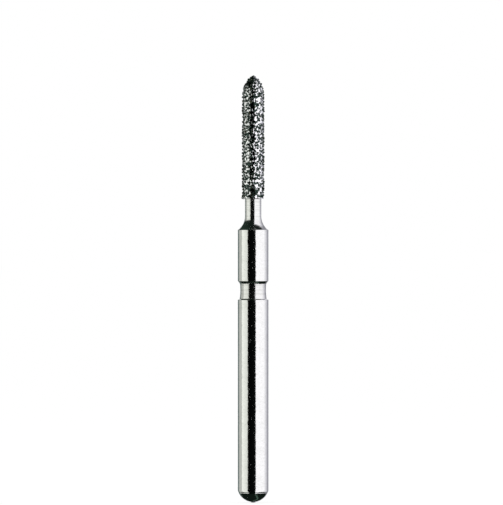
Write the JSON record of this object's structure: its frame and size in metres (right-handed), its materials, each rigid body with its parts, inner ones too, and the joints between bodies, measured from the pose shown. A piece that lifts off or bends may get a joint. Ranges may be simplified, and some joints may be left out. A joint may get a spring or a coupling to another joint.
{
  "type": "diamond dental bur",
  "caption": "Diamond dental bur: a smooth round friction-grip shank with a ring groove, a slim neck and a long grit-covered cutting head with a torpedo tip.",
  "frame": {"origin": "on the axis, at the butt end of the straight gripped shank, where the rounded butt begins", "axes": "+Z along the axis towards the cutting tip; the part is round, so X and Y are any two directions square to it"},
  "size_m": [0.0016, 0.0016, 0.0223],
  "materials": {
    "steel": "ground and polished stainless steel with fine turning marks",
    "nickel": "bright electroplated nickel, uneven between the grains",
    "diamond": "dark diamond grit with glossy broken faces"
  },
  "bodies": {
    "root": {"steel_blank": "steel", "nickel_bond": "nickel", "diamond_grains": "diamond"}
  },
  "joints": []
}
